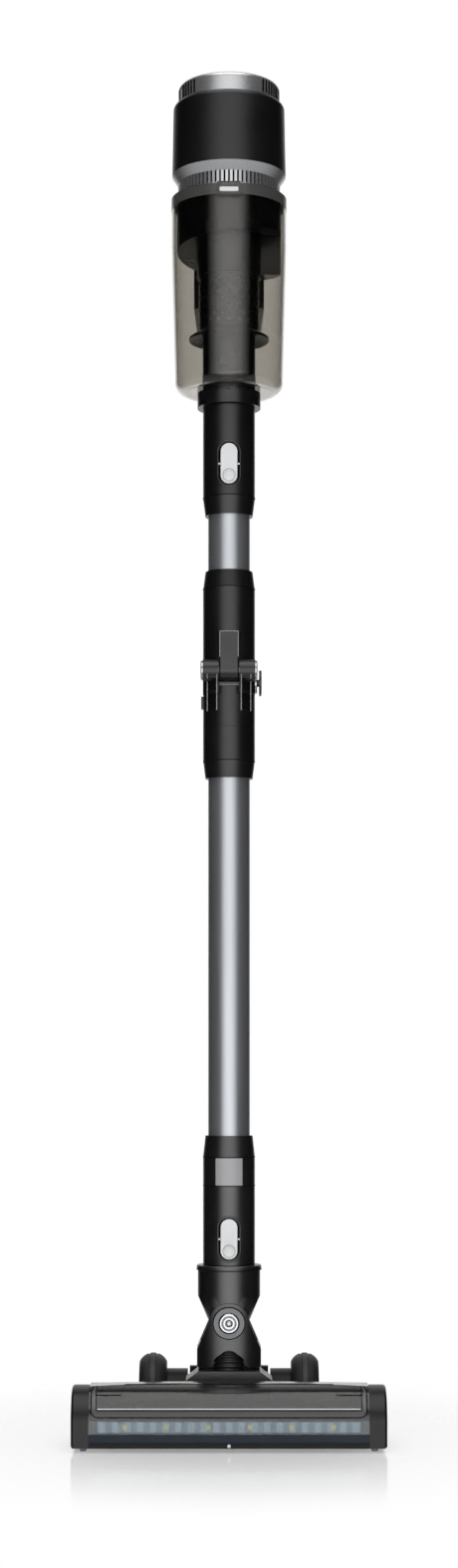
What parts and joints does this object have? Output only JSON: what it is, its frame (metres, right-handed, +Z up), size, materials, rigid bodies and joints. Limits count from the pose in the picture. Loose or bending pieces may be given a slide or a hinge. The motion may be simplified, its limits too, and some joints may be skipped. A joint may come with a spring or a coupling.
{
  "type": "cordless stick vacuum cleaner",
  "caption": "Cordless stick vacuum cleaner with a powered brush head, swivelling neck, folding aluminium wand and a hand unit with a clear cyclone dust bin.",
  "frame": {"origin": "on the floor, under the middle of the machine's box", "axes": "+Z up along the wand, -Y towards the front of the floor head, +X to the right seen from the front"},
  "size_m": [0.25, 0.208, 1.1037],
  "materials": {
    "gloss_black": "injection-moulded glossy black ABS",
    "satin_black": "fine-grained satin black ABS",
    "satin_silver": "silver-lacquered ABS",
    "smoky_clear": "smoke-tinted clear moulding",
    "clear_lens": "clear moulded light strip",
    "anodised_tube": "drawn and anodised aluminium",
    "light_grey": "light grey moulded ABS",
    "mid_grey": "grey moulded ABS",
    "soft_grey": "soft dark grey rubber",
    "hose_rubber": "ribbed elastomer hose",
    "bristle": "nylon bristle",
    "led_yellow": "phosphor-coated chip",
    "board_white": "white solder-masked board",
    "steel": "turned steel",
    "motor_alloy": "die-cast motor can",
    "cell_can": "sleeved cell can",
    "filter_paper": "pleated filter paper"
  },
  "bodies": {
    "floor_head": {"head_chassis": "gloss_black", "head_top_cover": "gloss_black", "brush_window": "smoky_clear", "left_end_cap": "gloss_black", "right_end_cap": "gloss_black", "led_lens": "clear_lens", "led_board": "board_white", "led_chips": "led_yellow", "bumper_strip": "soft_grey", "sole_plate": "satin_black", "brush_motor": "motor_alloy", "drive_belt": "soft_grey", "brush_bearings": "steel", "wheel_axles": "steel", "pitch_pins": "steel", "head_screws": "steel", "suction_elbow": "satin_black", "neck_hose": "hose_rubber"},
    "brush_roll": {"brush_core": "satin_black", "brush_bristles": "bristle", "brush_pulley": "satin_black"},
    "motor_pulley": {"motor_pulley": "satin_black"},
    "rear_wheel_left": {"rear_wheel_left": "soft_grey"},
    "rear_wheel_right": {"rear_wheel_right": "soft_grey"},
    "front_castor_left": {"front_castor_left": "soft_grey"},
    "front_castor_right": {"front_castor_right": "soft_grey"},
    "yoke": {"neck_yoke": "gloss_black", "pivot_caps": "satin_silver", "pivot_rings": "mid_grey"},
    "neck_socket": {"neck_socket": "gloss_black"},
    "lower_wand": {"lower_collar": "gloss_black", "collar_plate": "mid_grey", "main_tube": "anodised_tube", "knee_lower_body": "gloss_black", "knee_pin": "steel", "knee_hose": "hose_rubber"},
    "lower_button": {"lower_button": "light_grey"},
    "knee_button": {"knee_button": "gloss_black"},
    "upper_wand": {"knee_upper_body": "gloss_black", "upper_tube": "anodised_tube", "upper_collar": "gloss_black"},
    "upper_button": {"upper_button": "light_grey"},
    "dust_bin": {"bin_shell": "smoky_clear", "bin_inlet_duct": "gloss_black"},
    "bin_latch": {"bin_latch": "light_grey"},
    "motor_unit": {"cyclone_housing": "gloss_black", "pleated_filter": "filter_paper", "perforated_column": "gloss_black", "separator_skirt": "gloss_black", "vent_ring": "satin_silver", "motor_housing": "satin_black", "top_cap": "satin_silver", "suction_motor": "motor_alloy", "handle_left": "satin_black", "handle_right": "satin_black", "handle_screws": "steel"},
    "impeller": {"impeller": "satin_black"},
    "trigger": {"trigger": "satin_black"},
    "battery": {"battery_case": "satin_black", "battery_cells": "cell_can"}
  },
  "joints": [
    {"name": "brush_spin", "type": "hinge", "parent": "floor_head", "child": "brush_roll", "pos_m": [0, -0.073, 0.0248], "axis": [1, 0, 0], "continuous": true},
    {"name": "motor_pulley_spin", "type": "hinge", "parent": "floor_head", "child": "motor_pulley", "pos_m": [0, -0.0345, 0.0192], "axis": [1, 0, 0], "continuous": true},
    {"name": "rear_wheel_left_roll", "type": "hinge", "parent": "floor_head", "child": "rear_wheel_left", "pos_m": [-0.063, 0.02, 0.033], "axis": [1, 0, 0], "continuous": true},
    {"name": "front_castor_left_roll", "type": "hinge", "parent": "floor_head", "child": "front_castor_left", "pos_m": [-0.1155, -0.092, 0.006], "axis": [1, 0, 0], "continuous": true},
    {"name": "rear_wheel_right_roll", "type": "hinge", "parent": "floor_head", "child": "rear_wheel_right", "pos_m": [0.063, 0.02, 0.033], "axis": [1, 0, 0], "continuous": true},
    {"name": "front_castor_right_roll", "type": "hinge", "parent": "floor_head", "child": "front_castor_right", "pos_m": [0.1155, -0.092, 0.006], "axis": [1, 0, 0], "continuous": true},
    {"name": "head_pitch", "type": "hinge", "parent": "floor_head", "child": "yoke", "pos_m": [0, 0.004, 0.033], "axis": [-1, 0, 0], "range_deg": [0, 80], "deforming": ["neck_hose"]},
    {"name": "neck_swivel", "type": "hinge", "parent": "yoke", "child": "neck_socket", "pos_m": [0, -0.026, 0.097], "axis": [0, 1, 0], "range_deg": [-60, 60]},
    {"name": "wand_release", "type": "slide", "parent": "neck_socket", "child": "lower_wand", "axis": [0, 0, 1], "range_m": [0, 0.04]},
    {"name": "lower_button_press", "type": "hinge", "parent": "lower_wand", "child": "lower_button", "pos_m": [0, -0.0448, 0.16485], "axis": [1, 0, 0], "range_deg": [0, 4], "stiffness_Nm_per_rad": 1.5},
    {"name": "knee_button_press", "type": "slide", "parent": "lower_wand", "child": "knee_button", "axis": [-1, 0, 0], "range_m": [0, 0.0012], "stiffness_N_per_m": 800},
    {"name": "knee_fold", "type": "hinge", "parent": "lower_wand", "child": "upper_wand", "pos_m": [0, -0.046, 0.62535], "axis": [1, 0, 0], "range_deg": [0, 90], "deforming": ["knee_hose"]},
    {"name": "upper_button_press", "type": "hinge", "parent": "upper_wand", "child": "upper_button", "pos_m": [0, -0.0448, 0.79265], "axis": [1, 0, 0], "range_deg": [0, 4], "stiffness_Nm_per_rad": 1.5},
    {"name": "hand_unit_release", "type": "slide", "parent": "upper_wand", "child": "dust_bin", "axis": [0, 0, 1], "range_m": [0, 0.04]},
    {"name": "bin_latch_press", "type": "slide", "parent": "dust_bin", "child": "bin_latch", "axis": [0, 1, 0], "range_m": [0, 0.0012], "stiffness_N_per_m": 1500},
    {"name": "motor_unit_lift", "type": "slide", "parent": "dust_bin", "child": "motor_unit", "axis": [0, 0, 1], "range_m": [0, 0.115]},
    {"name": "impeller_spin", "type": "hinge", "parent": "motor_unit", "child": "impeller", "pos_m": [0, -0.026, 1.04075], "axis": [0, 0, 1], "continuous": true},
    {"name": "trigger_pull", "type": "slide", "parent": "motor_unit", "child": "trigger", "axis": [0, 1, 0], "range_m": [0, 0.004], "stiffness_N_per_m": 600},
    {"name": "battery_slide", "type": "slide", "parent": "motor_unit", "child": "battery", "axis": [0, 1, 0], "range_m": [0, 0.085]}
  ],
  "couplings": [
    {"joint": "motor_pulley_spin", "follows": "brush_spin", "ratio": 1.6}
  ]
}
